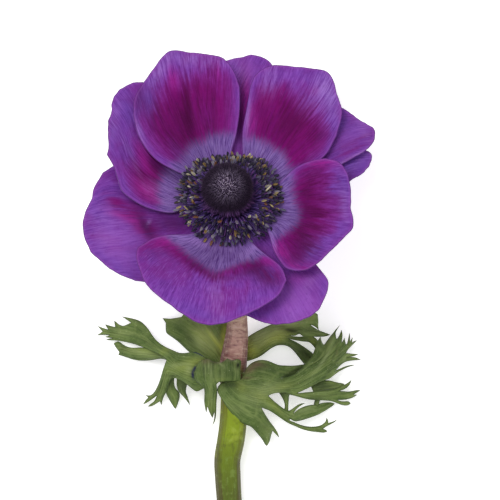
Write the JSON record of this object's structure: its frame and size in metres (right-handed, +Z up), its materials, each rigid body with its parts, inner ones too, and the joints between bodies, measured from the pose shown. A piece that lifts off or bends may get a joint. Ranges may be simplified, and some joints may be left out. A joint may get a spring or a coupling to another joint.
{
  "type": "anemone flower",
  "caption": "Cut anemone flower with open layered petals, a dark domed centre ringed by stamens, and a ruff of deeply cut leaves on a bent stem, lying on a surface.",
  "frame": {"origin": "middle of the lying flower's outer box, on the surface that it rests on", "axes": "+Z up from the surface, +Y from the cut end of the stem to the head, +X to the right seen from above"},
  "size_m": [0.0878, 0.211, 0.0548],
  "materials": {
    "stem_skin": "smooth plant skin, lime green to olive, brownish pink above the leaves",
    "leaf_blade": "matt plant leaf with pale veins",
    "inner_petal": "silky petal, violet margin, crimson band and pale lilac eye",
    "outer_petal": "silky petal, blue violet",
    "pistil": "velvety, near black with a lilac grey top",
    "stamen": "near black blue anthers with some ochre pollen"
  },
  "bodies": {
    "root": {"stem": "stem_skin", "leaf_left": "leaf_blade", "leaf_back": "leaf_blade", "leaf_right": "leaf_blade", "tepal_inner_1": "inner_petal", "tepal_inner_2": "inner_petal", "tepal_inner_3": "inner_petal", "tepal_inner_4": "inner_petal", "tepal_inner_5": "inner_petal", "tepal_outer_1": "outer_petal", "tepal_outer_2": "outer_petal", "tepal_outer_3": "outer_petal", "tepal_outer_4": "outer_petal", "tepal_outer_5": "outer_petal", "pistil_cluster": "pistil", "stamens": "stamen"}
  },
  "joints": []
}
